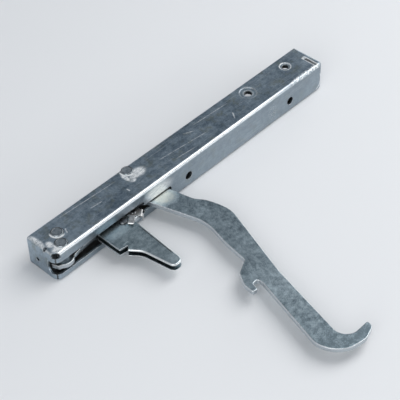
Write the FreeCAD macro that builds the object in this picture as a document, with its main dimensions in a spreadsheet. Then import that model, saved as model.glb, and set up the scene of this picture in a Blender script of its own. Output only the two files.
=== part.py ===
"""Oven door hinge: a folded sheet housing with a swan-neck arm, a locking clip and a return spring.

The hinge lies on the lower flank of its housing, as on a bench. X runs along the
housing from the pivot end to the spring's anchored end, the slotted web faces -Y,
the housing is open at +Y, and Z points up from the lower flank. The origin is the
centre of the lower flank's outer face. All sizes are in millimetres.
"""
import FreeCAD, Part
import math
import os
import Sketcher
from FreeCAD import Placement, Rotation, Vector

doc = FreeCAD.newDocument("OvenDoorHinge")

# Driving dimensions
#
# Each value is written once here. A place along the housing is measured "in"
# from the pivot end or as an "inset" from the far end, a place across it is a
# "depth" behind the web's face or a "reach" in front of it, and a height is
# measured up from the lower flank's outer face.
DIMENSIONS = {
    # folded housing
    "frame_length": 200.0,
    "frame_width": 21.0,
    "frame_height": 18.0,
    "sheet": 1.2,
    "bend_radius": 1.8,
    "corner_radius": 4.0,
    "far_corner_radius": 2.5,
    "back_corner_radius": 1.6,
    "seam": 0.3,
    "end_seam": 0.6,
    "window_length": 59.5,
    "window_low": 4.3,
    "window_high": 12.4,
    "window_wrap": 6.0,
    "window_round": 3.0,
    "slot_length": 79.0,
    "slot_low": 5.5,
    "slot_high": 9.5,
    "slot_round": 1.6,
    "relief_radius": 1.0,
    "relief_depth": 7.9,
    "corner_gap_in": 1.84,
    "corner_gap_depth": 1.58,
    "corner_gap_length": 5.2,
    "corner_gap_width": 2.3,
    "corner_gap_angle": -44.0,
    "corner_gap_drop": 3.0,
    "end_hole_radius": 1.15,
    "end_hole_depth": 13.4,
    "screw_depth": 13.2,
    "boss_screw_inset": 47.6,
    "boss_screw_radius": 2.25,
    "boss_radius": 4.9,
    "boss_drop": 0.5,
    "sunk_screw_inset": 16.8,
    "sunk_screw_radius": 1.95,
    "sunk_head_radius": 3.1,
    "sunk_drop": 0.35,
    "thread_wall": 0.9,
    "thread_depth": 1.5,
    "web_hole_gap": 12.8,
    "web_hole_inset": 27.7,
    "web_hole_radius": 2.4,
    # arm
    "arm_level": 7.5,
    "arm_thickness": 2.5,
    "pivot_in": 8.7,
    "pivot_depth": 5.0,
    "arm_boss_radius": 5.7,
    "heel_radius": 7.2,
    "arm_edge": 0.4,
    "leg_front_depth": 3.6,
    "leg_near_depth": 11.0,
    "elbow_in": 73.6,
    "elbow_round": 11.0,
    "leg_inner_in": 62.2,
    "inner_round": 4.5,
    "lug_reach": 2.6,
    "lug_end_in": 57.0,
    "neck_in": 80.2,
    "neck_reach": 14.4,
    "shoulder_in": 83.6,
    "shoulder_reach": 19.4,
    "crest_in": 85.6,
    "crest_reach": 25.6,
    "flank_in": 87.1,
    "flank_reach": 33.8,
    "waist_in": 71.3,
    "waist_reach": 78.5,
    "hook_inner_in": 58.7,
    "hook_inner_reach": 128.4,
    "hook_tip_in": 74.9,
    "hook_lip": 3.6,
    "hook_heel_in": 66.5,
    "hook_depth": 6.1,
    "hook_outer_in": 48.6,
    "blade_width": 10.8,
    "notch_reach": 74.4,
    "notch_width": 3.6,
    "notch_depth": 4.2,
    "nose_width": 3.9,
    "nose_rise": 6.6,
    "brow_in": 57.7,
    "brow_reach": 65.4,
    "step_in": 65.9,
    "step_reach": 61.4,
    "hollow_in": 68.1,
    "hollow_reach": 47.0,
    "bow_in": 72.4,
    "bow_reach": 30.5,
    # pivot and stop pins
    "pivot_pin_radius": 3.0,
    "tenon_radius": 2.25,
    "bush_wall": 1.0,
    "spacer_radius": 3.6,
    "running_fit": 0.05,
    "stop_pin_radius": 1.75,
    "rivet_head_radius": 3.1,
    "rivet_head_height": 0.55,
    "rivet_dish": 0.12,
    "open_stop_in": 12.2,
    "open_stop_depth": 11.7,
    "close_stop_in": 65.2,
    "close_stop_depth": 17.75,
    "sleeve_wall": 1.1,
    # link, shackle and spring
    "crank_radius": 10.0,
    "crank_angle": -1.0,
    "link_length": 70.0,
    "link_width": 5.0,
    "link_thickness": 1.5,
    "link_rise": 1.5,
    "link_pin_radius": 1.5,
    "eye_pin_radius": 2.0,
    "eye_radius": 4.0,
    "shackle_radius": 6.4,
    "shackle_length": 9.5,
    "shackle_thickness": 1.9,
    "spring_hole_radius": 1.4,
    "axis_depth": 9.5,
    "axis_level": 9.0,
    "wire": 2.0,
    "coil_radius": 4.75,
    "coil_turns": 26,
    "anchor_inset": 4.2,
    "anchor_thickness": 1.5,
    "tab_depth": 1.4,
    "tab_width": 8.0,
    "tab_slack": 0.1,
    # locking clip
    "clip_sheet": 1.0,
    "clip_slack": 0.15,
    "clip_pivot_in": 44.0,
    "clip_pivot_reach": 0.7,
    "clip_left_in": 29.4,
    "clip_inner_depth": 2.6,
    "toe_reach": 13.2,
    "toe_step": 4.8,
    "toe_rise": 2.3,
    "clip_mid_in": 36.5,
    "clip_mid_reach": 22.0,
    "clip_tip_in": 39.4,
    "clip_tip_reach": 40.3,
    "clip_end_in": 45.7,
    "clip_tip_round": 3.0,
    "fold_stop": 4.0,
    "fold_top_in": 48.6,
    "fold_start": 5.2,
    "clip_pin_radius": 1.75,
    "clip_head_radius": 2.3,
    "clip_head_height": 0.5,
    # retaining leaf
    "leaf_sheet": 0.6,
    "leaf_width": 2.9,
    "leaf_shift": 0.4,
    "leaf_shoulder": 2.8,
    "leaf_seat_width": 7.1,
    "leaf_seat_in": 52.3,
    "leaf_seat_depth": 0.9,
    "leaf_angle": 37.0,
    "leaf_seat": 4.8,
    "leaf_bend": 1.5,
    "leaf_ear_drop": 3.6,
    "leaf_length": 9.6,
    "leaf_rivet_radius": 1.0,
    "leaf_head_radius": 1.7,
}

sheet = doc.addObject("Spreadsheet::Sheet", "Sizes")
sheet.set("A1", "name")
sheet.set("B1", "millimetres or degrees")
for row, (alias, number) in enumerate(DIMENSIONS.items(), start=2):
    sheet.set(f"A{row}", alias)
    sheet.set(f"B{row}", f"{number}")
    sheet.setAlias(f"B{row}", alias)
doc.recompute()


# Sizes that carry their formula
class Size:
    """A length as a number together with the formula that gives it from the sheet."""

    def __init__(self, text, number):
        self.text = text
        self.number = number

    def __add__(self, other):
        other = as_size(other)
        return Size(f"({self.text} + {other.text})", self.number + other.number)

    def __sub__(self, other):
        other = as_size(other)
        return Size(f"({self.text} - {other.text})", self.number - other.number)

    def __mul__(self, other):
        other = as_size(other)
        return Size(f"({self.text} * {other.text})", self.number * other.number)

    def __truediv__(self, other):
        other = as_size(other)
        return Size(f"({self.text} / {other.text})", self.number / other.number)

    def __radd__(self, other):
        return as_size(other) + self

    def __rsub__(self, other):
        return as_size(other) - self

    def __rmul__(self, other):
        return as_size(other) * self

    def __neg__(self):
        return Size(f"(0 - {self.text})", -self.number)


def as_size(value):
    """A plain number as a Size; a Size stays as it is."""
    return value if isinstance(value, Size) else Size(f"{value}", float(value))


def size(alias):
    """The named cell of the sheet."""
    return Size(f"Sizes.{alias}", float(DIMENSIONS[alias]))


def cosine(angle):
    """Cosine of a Size in degrees."""
    return Size(f"cos({angle.text} * 1deg)", math.cos(math.radians(angle.number)))


def sine(angle):
    """Sine of a Size in degrees."""
    return Size(f"sin({angle.text} * 1deg)", math.sin(math.radians(angle.number)))


def root(value):
    """Square root of a Size."""
    return Size(f"sqrt({value.text})", math.sqrt(value.number))


def along(inset):
    """X of a place measured in from the pivot end."""
    return as_size(inset) - size("frame_length") / 2


def from_far_end(inset):
    """X of a place measured back from the far end."""
    return size("frame_length") / 2 - as_size(inset)


def across(depth):
    """Y of a place measured behind the web's outer face."""
    return as_size(depth) - size("frame_width") / 2


def outward(reach):
    """Y of a place measured out in front of the web's outer face."""
    return -as_size(reach) - size("frame_width") / 2


# Modelling helpers
def bind(feature, name, value):
    """Gives a property its number and ties it to the sheet."""
    feature.setExpression(name, as_size(value).text)


def new_body(label):
    body = doc.addObject("PartDesign::Body", label)
    body.Label = label
    return body


def new_sketch(body, role, offset=(0, 0, 0)):
    """A sketch on one of the body's own planes, moved by an offset in the plane's axes."""
    sketch = body.newObject("Sketcher::SketchObject", f"{body.Name}_sketch")
    plane = next(item for item in body.Origin.OriginFeatures if item.Role == role)
    sketch.AttachmentSupport = [(plane, "")]
    sketch.MapMode = "FlatFace"
    offset = [as_size(value) for value in offset]
    sketch.AttachmentOffset = Placement(Vector(*[value.number for value in offset]), Rotation())
    for axis, value in zip("xyz", offset):
        bind(sketch, f"AttachmentOffset.Base.{axis}", value)
    return sketch


def tie_point(sketch, geometry, end, x, y):
    """Holds one point of the sketch at two formulas."""
    for kind, value in (("DistanceX", x), ("DistanceY", y)):
        place = sketch.addConstraint(
            Sketcher.Constraint(kind, -1, 1, geometry, end, value.number)
        )
        sketch.setExpression(f"Constraints[{place}]", value.text)


def add_polygon(sketch, points):
    """A closed run of straight lines through the given corners."""
    corners = [(as_size(x), as_size(y)) for x, y in points]
    ends = [Vector(x.number, y.number, 0) for x, y in corners]
    lines = [
        sketch.addGeometry(Part.LineSegment(start, finish))
        for start, finish in zip(ends, ends[1:] + ends[:1])
    ]
    for line, following in zip(lines, lines[1:] + lines[:1]):
        sketch.addConstraint(Sketcher.Constraint("Coincident", line, 2, following, 1))
    for line, (x, y) in zip(lines, corners):
        tie_point(sketch, line, 1, x, y)
    return sketch


def add_circle(sketch, x, y, radius):
    x, y, radius = as_size(x), as_size(y), as_size(radius)
    circle = sketch.addGeometry(
        Part.Circle(Vector(x.number, y.number, 0), Vector(0, 0, 1), radius.number)
    )
    tie_point(sketch, circle, 3, x, y)
    place = sketch.addConstraint(Sketcher.Constraint("Radius", circle, radius.number))
    sketch.setExpression(f"Constraints[{place}]", radius.text)
    return sketch


def box_outline(low_x, high_x, low_y, high_y):
    """The four corners of a rectangle."""
    return [(low_x, low_y), (high_x, low_y), (high_x, high_y), (low_x, high_y)]


def pad(body, sketch, length):
    feature = body.newObject("PartDesign::Pad", f"{body.Name}_pad")
    feature.Profile = sketch
    bind(feature, "Length", length)
    doc.recompute()
    return feature


def pocket(body, sketch, length):
    """Cuts against the sketch's normal, and makes sure that something was cut."""
    before = body.Shape.Volume
    feature = body.newObject("PartDesign::Pocket", f"{body.Name}_pocket")
    feature.Profile = sketch
    bind(feature, "Length", length)
    doc.recompute()
    if not body.Shape.Volume < before - 1e-6:
        raise RuntimeError(f"{feature.Name} of {body.Label} cuts nothing")
    return feature


def turn(body, sketch, kind="PartDesign::Revolution"):
    """A solid of revolution about the sketch's vertical axis."""
    feature = body.newObject(kind, f"{body.Name}_turn")
    feature.Profile = sketch
    feature.ReferenceAxis = (sketch, ["V_Axis"])
    feature.Angle = 360.0
    doc.recompute()
    return feature


def fillet(body, radius, picked):
    """Rounds every edge of the body for which picked(edge) is true."""
    names = [
        f"Edge{index}" for index, edge in enumerate(body.Shape.Edges, start=1) if picked(edge)
    ]
    if not names:
        raise RuntimeError(f"no edge of {body.Label} to round")
    base = body.Tip
    feature = body.newObject("PartDesign::Fillet", f"{body.Name}_fillet")
    feature.Base = (base, names)
    bind(feature, "Radius", radius)
    doc.recompute()
    if "Invalid" in feature.State or "Error" in feature.State:
        raise RuntimeError(f"{feature.Name} of {body.Label} failed on {names}")
    return feature


def upright_at(*places):
    """Picks the edges that stand upright at the given places."""
    wanted = [(as_size(x).number, as_size(y).number) for x, y in places]

    def picked(edge):
        box = edge.BoundBox
        if box.ZLength < 1e-3 or box.XLength > 1e-3 or box.YLength > 1e-3:
            return False
        return any(math.hypot(box.XMin - x, box.YMin - y) < 1e-3 for x, y in wanted)

    return picked


def level_at(height, where=lambda box: True):
    """Picks the edges that lie at one height, and for which where(box) holds."""
    height = as_size(height).number

    def picked(edge):
        box = edge.BoundBox
        return abs(box.ZMin - height) < 1e-4 and abs(box.ZMax - height) < 1e-4 and where(box)

    return picked


def turned_part(label, x, y, profile):
    """A round part standing at x, y whose half section is a list of (radius, height)."""
    body = new_body(label)
    sketch = new_sketch(body, "XZ_Plane", (x, 0, -as_size(y)))
    add_polygon(sketch, profile)
    turn(body, sketch)
    return body


# Places shared by several pieces
half_length = size("frame_length") / 2
half_width = size("frame_width") / 2
height = size("frame_height")
wall = size("sheet")
inner_low = wall
inner_high = height - wall
overshoot = 2

pivot_x = along(size("pivot_in"))
pivot_y = across(size("pivot_depth"))
open_stop_x = along(size("open_stop_in"))
open_stop_y = across(size("open_stop_depth"))
close_stop_x = along(size("close_stop_in"))
close_stop_y = across(size("close_stop_depth"))
sleeve_radius = size("stop_pin_radius") + size("sleeve_wall")

arm_low = size("arm_level") - size("arm_thickness") / 2
arm_high = size("arm_level") + size("arm_thickness") / 2

crank_x = pivot_x + size("crank_radius") * cosine(size("crank_angle"))
crank_y = pivot_y + size("crank_radius") * sine(size("crank_angle"))
axis_y = across(size("axis_depth"))
link_drop = axis_y - crank_y
link_run = root(size("link_length") * size("link_length") - link_drop * link_drop)
eye_x = crank_x + link_run
eye_y = axis_y
link_low = arm_high + size("link_rise")
link_high = link_low + size("link_thickness")

clip_pivot_x = along(size("clip_pivot_in"))
clip_pivot_y = outward(size("clip_pivot_reach"))
cheek_low_in = arm_low - size("clip_slack")
cheek_low_out = cheek_low_in - size("clip_sheet")
cheek_high_in = arm_high + size("clip_slack")
cheek_high_out = cheek_high_in + size("clip_sheet")

leaf_x = along(size("leaf_seat_in"))
leaf_y = across(size("leaf_seat_depth"))


# Folded housing
def make_housing():
    """One folded sheet: web, two flanks and two end flaps, open at the back.

    The outer block gets its bends first, then the cavity leaves one sheet
    thickness everywhere, and the window, slot and holes are punched in.
    """
    body = new_body("housing")
    block = new_sketch(body, "XY_Plane")
    add_polygon(block, box_outline(-half_length, half_length, -half_width, half_width))
    pad(body, block, height)
    fillet(body, size("corner_radius"), upright_at((-half_length, -half_width)))
    fillet(body, size("far_corner_radius"), upright_at((half_length, -half_width)))
    fillet(body, size("back_corner_radius"), upright_at((-half_length, half_width)))

    def folded(box):
        return box.YMax < half_width.number - size("back_corner_radius").number + 1e-3

    def on_web(box):
        return abs(box.YMin + half_width.number) < 1e-3 and box.XLength > half_length.number

    fillet(body, size("bend_radius"), level_at(height, on_web))
    fillet(body, size("bend_radius"), level_at(0, on_web))

    cavity = new_sketch(body, "XY_Plane", (0, 0, inner_high))
    inner_corner = size("corner_radius") - wall
    inner_far = size("far_corner_radius") - wall
    left = wall - half_length
    right = half_length - wall
    front = wall - half_width
    add_polygon(
        cavity,
        [
            (left, front + inner_corner),
            (left + inner_corner * 0.293, front + inner_corner * 0.293),
            (left + inner_corner, front),
            (right - inner_far, front),
            (right - inner_far * 0.293, front + inner_far * 0.293),
            (right, front + inner_far),
            (right, half_width + overshoot),
            (left, half_width + overshoot),
        ],
    )
    pocket(body, cavity, inner_high - inner_low)

    window = new_sketch(body, "XY_Plane", (0, 0, size("window_high")))
    window_end = along(size("window_length"))
    wrap_end = across(size("window_wrap"))
    add_polygon(
        window,
        box_outline(-half_length - overshoot, window_end, -half_width - overshoot, wrap_end),
    )
    pocket(body, window, size("window_high") - size("window_low"))

    slot = new_sketch(body, "XY_Plane", (0, 0, size("slot_high")))
    slot_end = along(size("slot_length"))
    add_polygon(
        slot, box_outline(window_end - wall, slot_end, -half_width - overshoot, -half_width + wall * 2)
    )
    pocket(body, slot, size("slot_high") - size("slot_low"))

    def window_corner(edge):
        box = edge.BoundBox
        in_end_flap = abs(box.YMin - wrap_end.number) < 1e-3 and abs(box.YMax - wrap_end.number) < 1e-3
        at_height = abs(box.ZMin - size("window_low").number) < 1e-3
        return in_end_flap and at_height and box.ZLength < 1e-3 and box.XMax < 0

    fillet(body, size("window_round"), window_corner)

    def slot_corner(edge):
        box = edge.BoundBox
        at_end = abs(box.XMin - slot_end.number) < 1e-3 and box.XLength < 1e-3
        at_step = abs(box.XMin - window_end.number) < 1e-3 and box.XLength < 1e-3
        at_window_edge = abs(box.ZMin - size("window_high").number) < 1e-3
        return box.ZLength < 1e-3 and (at_end or (at_step and at_window_edge))

    fillet(body, size("slot_round"), slot_corner)

    through = height + overshoot
    rivets = new_sketch(body, "XY_Plane", (0, 0, height + overshoot / 2))
    add_circle(rivets, pivot_x, pivot_y, size("tenon_radius"))
    add_circle(rivets, open_stop_x, open_stop_y, size("stop_pin_radius"))
    add_circle(rivets, close_stop_x, close_stop_y, size("stop_pin_radius"))
    pocket(body, rivets, through)

    tab_slot = new_sketch(body, "XY_Plane", (0, 0, height + overshoot / 2))
    anchor_x = from_far_end(size("anchor_inset"))
    slot_half = size("anchor_thickness") / 2 + size("tab_slack")
    tab_front = across(size("tab_depth"))
    add_polygon(
        tab_slot,
        box_outline(
            anchor_x - slot_half,
            anchor_x + slot_half,
            tab_front - size("tab_slack"),
            tab_front + size("tab_width") + size("tab_slack"),
        ),
    )
    pocket(body, tab_slot, through)

    screw_y = across(size("screw_depth"))
    boss = new_sketch(body, "XY_Plane", (0, 0, height))
    add_circle(boss, from_far_end(size("boss_screw_inset")), screw_y, size("boss_radius"))
    pocket(body, boss, size("boss_drop"))
    dimple = new_sketch(body, "XY_Plane", (0, 0, inner_high - size("boss_drop")))
    add_circle(dimple, from_far_end(size("boss_screw_inset")), screw_y, size("boss_radius") + wall / 2)
    pad(body, dimple, size("boss_drop"))
    collars = new_sketch(body, "XY_Plane", (0, 0, inner_high - size("thread_depth")))
    screws = new_sketch(body, "XY_Plane", (0, 0, height + overshoot / 2))
    for name in ("boss_screw", "sunk_screw"):
        screw_x = from_far_end(size(f"{name}_inset"))
        screw_radius = size(f"{name}_radius")
        add_circle(collars, screw_x, screw_y, screw_radius + size("thread_wall"))
        add_circle(screws, screw_x, screw_y, screw_radius)
    pad(body, collars, size("thread_depth"))
    pocket(body, screws, wall + size("thread_depth") + overshoot)

    sink = new_sketch(body, "XY_Plane", (0, 0, height))
    add_circle(sink, from_far_end(size("sunk_screw_inset")), screw_y, size("sunk_head_radius"))
    pocket(body, sink, size("sunk_drop"))

    web_holes = new_sketch(body, "XZ_Plane", (0, 0, half_width - wall * 2))
    near_hole_x = slot_end + size("web_hole_gap")
    far_hole_x = from_far_end(size("web_hole_inset"))
    for place in (near_hole_x, far_hole_x):
        add_circle(web_holes, place, size("arm_level"), size("web_hole_radius"))
    pocket_towards(body, web_holes, wall * 4)

    end_hole = new_sketch(body, "YZ_Plane", (0, 0, wall * 2 - half_length))
    add_circle(end_hole, across(size("end_hole_depth")), size("arm_level"), size("end_hole_radius"))
    pocket(body, end_hole, wall * 4)

    make_corner_reliefs(body)
    return body


def pocket_towards(body, sketch, length):
    """Cuts along the sketch's normal instead of against it."""
    before = body.Shape.Volume
    feature = body.newObject("PartDesign::Pocket", f"{body.Name}_pocket")
    feature.Profile = sketch
    feature.Reversed = True
    bind(feature, "Length", length)
    doc.recompute()
    if not body.Shape.Volume < before - 1e-6:
        raise RuntimeError(f"{feature.Name} of {body.Label} cuts nothing")
    return feature


def make_corner_reliefs(body):
    """The notch and gap where three folds meet, and the seams beside the end flaps."""
    notch = new_sketch(body, "XY_Plane", (0, 0, height + overshoot / 2))
    add_circle(
        notch,
        size("relief_radius") - half_length,
        across(size("relief_depth")),
        size("relief_radius"),
    )
    pocket(body, notch, wall * 2 + overshoot / 2)

    # the gap is a lens that lies across the rounded corner
    gap = new_sketch(body, "XY_Plane", (0, 0, height))
    tilt = size("corner_gap_angle")
    lens = [(-0.5, 0), (-0.28, -0.36), (0, -0.5), (0.28, -0.36), (0.5, 0), (0.28, 0.36), (0, 0.5), (-0.28, 0.36)]
    corners = []
    for share_along, share_across in lens:
        run = size("corner_gap_length") * share_along
        side = size("corner_gap_width") * share_across
        corners.append(
            (
                along(size("corner_gap_in")) + run * cosine(tilt) - side * sine(tilt),
                across(size("corner_gap_depth")) + run * sine(tilt) + side * cosine(tilt),
            )
        )
    add_polygon(gap, corners)
    pocket(body, gap, size("corner_gap_drop"))

    near_seam = new_sketch(body, "XY_Plane", (0, 0, inner_low + size("end_seam")))
    add_polygon(
        near_seam,
        box_outline(
            -half_length - overshoot,
            wall - half_length,
            across(size("window_wrap")) + size("window_round"),
            half_width + overshoot,
        ),
    )
    pocket(body, near_seam, size("end_seam"))
    for top in (inner_low + size("seam"), inner_high):
        far_seam = new_sketch(body, "XY_Plane", (0, 0, top))
        add_polygon(
            far_seam,
            box_outline(
                half_length - wall,
                half_length + overshoot,
                across(size("far_corner_radius")),
                half_width + overshoot,
            ),
        )
        pocket(body, far_seam, size("seam"))


# Swan-neck arm
def make_arm():
    """The stamped arm: boss and heel at the pivot, a leg along the housing, neck, notch and hook."""
    body = new_body("arm")
    leg_front = across(size("leg_front_depth"))
    leg_near = across(size("leg_near_depth"))
    lug_front = outward(size("lug_reach"))
    lug_near = clip_pivot_x - size("arm_boss_radius") + 1
    lug_far = along(size("lug_end_in"))
    elbow_y = close_stop_y - sleeve_radius - size("running_fit")
    neck = (along(size("neck_in")), outward(size("neck_reach")))
    shoulder = (along(size("shoulder_in")), outward(size("shoulder_reach")))
    crest = (along(size("crest_in")), outward(size("crest_reach")))
    flank = (along(size("flank_in")), outward(size("flank_reach")))
    waist = (along(size("waist_in")), outward(size("waist_reach")))
    hook_inner = (along(size("hook_inner_in")), outward(size("hook_inner_reach")))
    lip_top = (along(size("hook_tip_in")), outward(size("hook_inner_reach")))
    lip_low = (
        along(size("hook_tip_in")) - size("hook_lip") * 0.2,
        outward(size("hook_inner_reach") + size("hook_lip")),
    )
    hook_low = (along(size("hook_heel_in")), outward(size("hook_inner_reach") + size("hook_depth")))
    hook_sole = (
        along(size("hook_outer_in")) + size("hook_depth") * 1.28,
        outward(size("hook_inner_reach") + size("hook_depth") * 0.64),
    )
    hook_side = (
        along(size("hook_outer_in")) + size("hook_depth") * 0.33,
        outward(size("hook_inner_reach") - size("hook_depth") * 0.33),
    )
    hook_outer = (
        along(size("hook_outer_in")),
        outward(size("hook_inner_reach") - size("hook_depth") * 1.5),
    )
    notch_y = outward(size("notch_reach"))
    blade_x = along(size("waist_in")) - size("blade_width")
    nose_x = blade_x - size("notch_width")
    nose_tip_y = notch_y - size("notch_depth")
    nose_tip = (nose_x - 0.9, nose_tip_y)
    nose_side = (nose_x - size("nose_width"), nose_tip_y + 0.6)
    nose_back = (nose_x - size("nose_width") + 0.6, nose_tip_y + size("nose_rise"))
    brow = (along(size("brow_in")), outward(size("brow_reach")))
    step = (along(size("step_in")), outward(size("step_reach")))
    hollow = (along(size("hollow_in")), outward(size("hollow_reach")))
    bow = (along(size("bow_in")), outward(size("bow_reach")))
    leg_inner = (along(size("leg_inner_in")), leg_front)
    lug_corner = (lug_far - 0.8, lug_front)
    lug_start = (lug_near, lug_front)
    notch_near = (blade_x, notch_y)
    notch_far = (nose_x, notch_y)
    corners = [
        (pivot_x, pivot_y + size("arm_boss_radius") * 0.54),
        (open_stop_x + size("stop_pin_radius") * 2.2, leg_near),
        (close_stop_x - sleeve_radius * 1.6, elbow_y),
        (along(size("elbow_in")), elbow_y),
        neck,
        shoulder,
        crest,
        flank,
        waist,
        hook_inner,
        lip_top,
        lip_low,
        hook_low,
        hook_sole,
        hook_side,
        hook_outer,
        (blade_x, notch_y - size("notch_depth") * 0.8),
        notch_near,
        notch_far,
        nose_tip,
        nose_side,
        nose_back,
        brow,
        step,
        hollow,
        bow,
        leg_inner,
        (lug_far, leg_front),
        lug_corner,
        lug_start,
        (lug_near - 2.5, leg_front),
        (crank_x, leg_front - 0.9),
        (pivot_x, pivot_y - size("arm_boss_radius") * 0.75),
    ]
    outline = new_sketch(body, "XY_Plane", (0, 0, arm_low))
    add_polygon(outline, corners)
    pad(body, outline, size("arm_thickness"))
    rounds = [
        (size("elbow_round"), [(along(size("elbow_in")), elbow_y)]),
        (size("inner_round"), [leg_inner]),
        (as_size(25), [bow, hollow, crest]),
        (as_size(7), [neck]),
        (as_size(14), [shoulder]),
        (as_size(18), [flank]),
        (as_size(7), [hook_inner]),
        (as_size(10), [hook_outer]),
        (as_size(13), [hook_side]),
        (as_size(12), [hook_sole]),
        (as_size(8), [hook_low]),
        (as_size(1), [lip_top, nose_tip]),
        (as_size(3), [lip_low]),
        (size("notch_width") * 0.4, [notch_near, notch_far]),
        (as_size(1.2), [nose_side]),
        (as_size(5), [nose_back]),
        (as_size(1.5), [brow]),
        (as_size(2), [step, lug_corner, lug_start]),
    ]
    for radius, places in rounds:
        fillet(body, radius, upright_at(*places))

    boss = new_sketch(body, "XY_Plane", (0, 0, arm_low))
    add_circle(boss, pivot_x, pivot_y, size("arm_boss_radius"))
    pad(body, boss, size("arm_thickness"))
    make_heel(body)
    fillet(body, size("arm_edge"), level_at(arm_high))
    holes = new_sketch(body, "XY_Plane", (0, 0, arm_high + overshoot))
    add_circle(holes, pivot_x, pivot_y, size("pivot_pin_radius") + size("bush_wall"))
    add_circle(holes, crank_x, crank_y, size("link_pin_radius"))
    add_circle(holes, clip_pivot_x, clip_pivot_y, size("clip_pin_radius"))
    add_circle(holes, leaf_x, leaf_y, size("leaf_rivet_radius"))
    pocket(body, holes, size("arm_thickness") + overshoot * 2)
    return body


def make_heel(body):
    """The lobe behind the pivot that meets the front stop pin when the arm is fully out.

    With the arm out by a quarter turn, the stop pin lies a quarter turn further
    round the boss, as seen from the arm. The lobe's face is tangent to it there.
    """
    stop_x = open_stop_x - pivot_x
    reach = size("heel_radius")
    contact_y = pivot_y + stop_x - size("stop_pin_radius") - size("running_fit")
    heel = new_sketch(body, "XY_Plane", (0, 0, arm_low))
    add_polygon(
        heel,
        [
            (pivot_x, contact_y),
            (pivot_x - reach * 0.96, contact_y),
            (pivot_x - reach * 0.98, contact_y - reach * 0.25),
            (pivot_x - reach * 0.8, contact_y - reach * 0.72),
            (pivot_x - reach * 0.3, contact_y - reach * 0.9),
            (pivot_x, contact_y - reach * 0.9),
        ],
    )
    pad(body, heel, size("arm_thickness"))


# Pins, bush, spacers and sleeve
def make_pins():
    head = size("rivet_head_radius")
    rise = size("rivet_head_height")
    dish = size("rivet_dish")
    chamfer = rise * 0.5

    def capped(label, x, y, shank, tenon):
        """A pin between the flanks, headed over on top and flush underneath."""
        return turned_part(
            label,
            x,
            y,
            [
                (0, 0),
                (tenon, 0),
                (tenon, inner_low),
                (shank, inner_low),
                (shank, inner_high),
                (tenon, inner_high),
                (tenon, height),
                (head, height),
                (head, height + rise - chamfer),
                (head - chamfer, height + rise),
                (head - chamfer * 2, height + rise),
                (head - chamfer * 2 - dish, height + rise - dish),
                (0, height + rise - dish),
            ],
        )

    def straight(label, x, y, shank):
        """A plain pin of one diameter, headed over on top and flush underneath."""
        return turned_part(
            label,
            x,
            y,
            [
                (0, 0),
                (shank, 0),
                (shank, height),
                (head, height),
                (head, height + rise - chamfer),
                (head - chamfer, height + rise),
                (head - chamfer * 2, height + rise),
                (head - chamfer * 2 - dish, height + rise - dish),
                (0, height + rise - dish),
            ],
        )

    def ring(label, x, y, inner, outer, low, high):
        return turned_part(label, x, y, [(inner, low), (outer, low), (outer, high), (inner, high)])

    fit = size("running_fit")
    shank = size("pivot_pin_radius")
    stop = size("stop_pin_radius")
    bodies = [
        capped("pivot_pin", pivot_x, pivot_y, shank, size("tenon_radius")),
        straight("open_stop_pin", open_stop_x, open_stop_y, stop),
        straight("close_stop_pin", close_stop_x, close_stop_y, stop),
        ring("arm_bush", pivot_x, pivot_y, shank + fit, shank + size("bush_wall"), arm_low, arm_high),
        ring("spacer_lower", pivot_x, pivot_y, shank, size("spacer_radius"), inner_low, arm_low - fit),
        ring("spacer_upper", pivot_x, pivot_y, shank, size("spacer_radius"), arm_high + fit, inner_high),
        ring(
            "stop_sleeve",
            close_stop_x,
            close_stop_y,
            stop,
            sleeve_radius,
            inner_low + fit * 2,
            inner_high - fit * 2,
        ),
    ]
    return bodies


# Link between the arm and the spring
def make_link():
    """A flat strap on a collar above the arm, with its crank pin and its eye pin."""
    fit = size("running_fit")
    half = size("link_width") / 2
    body = new_body("link_strap")
    strap = new_sketch(body, "XY_Plane", (0, 0, link_low))
    side_x = -(half * link_drop / size("link_length"))
    side_y = half * link_run / size("link_length")
    add_polygon(
        strap,
        [
            (crank_x + side_x, crank_y + side_y),
            (crank_x - side_x, crank_y - side_y),
            (eye_x - side_x, eye_y - side_y),
            (eye_x + side_x, eye_y + side_y),
        ],
    )
    pad(body, strap, size("link_thickness"))
    for x, y in ((crank_x, crank_y), (eye_x, eye_y)):
        end = new_sketch(body, "XY_Plane", (0, 0, link_low))
        add_circle(end, x, y, half)
        pad(body, end, size("link_thickness"))
    holes = new_sketch(body, "XY_Plane", (0, 0, link_high + overshoot))
    add_circle(holes, crank_x, crank_y, size("link_pin_radius") + fit)
    add_circle(holes, eye_x, eye_y, size("eye_pin_radius") * 0.75)
    pocket(body, holes, size("link_thickness") + overshoot * 2)

    pin = size("link_pin_radius")
    collar = pin + 1.1
    crank_pin = turned_part(
        "crank_pin",
        crank_x,
        crank_y,
        [
            (0, arm_low - 0.6),
            (pin + 0.7, arm_low - 0.6),
            (pin + 0.9, arm_low),
            (pin, arm_low),
            (pin, link_high + fit),
            (pin + 0.6, link_high + fit),
            (pin + 0.4, link_high + 0.3),
            (0, link_high + 0.3),
        ],
    )
    crank_collar = turned_part(
        "crank_collar",
        crank_x,
        crank_y,
        [(pin, arm_high), (collar, arm_high), (collar, link_low - fit), (pin, link_low - fit)],
    )
    shackle_low = link_low - 0.3 - size("shackle_thickness")
    eye = size("eye_pin_radius")
    eye_pin = turned_part(
        "eye_pin",
        eye_x,
        eye_y,
        [
            (0, shackle_low - 1.1),
            (size("eye_radius") + 0.8, shackle_low - 1.1),
            (size("eye_radius") + 0.8, shackle_low - 0.3),
            (eye, shackle_low - 0.3),
            (eye, link_low),
            (eye * 0.75, link_low),
            (eye * 0.75, link_high),
            (eye * 1.1, link_high),
            (eye * 0.9, link_high + 0.5),
            (0, link_high + 0.5),
        ],
    )
    return [body, crank_pin, crank_collar, eye_pin]


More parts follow.
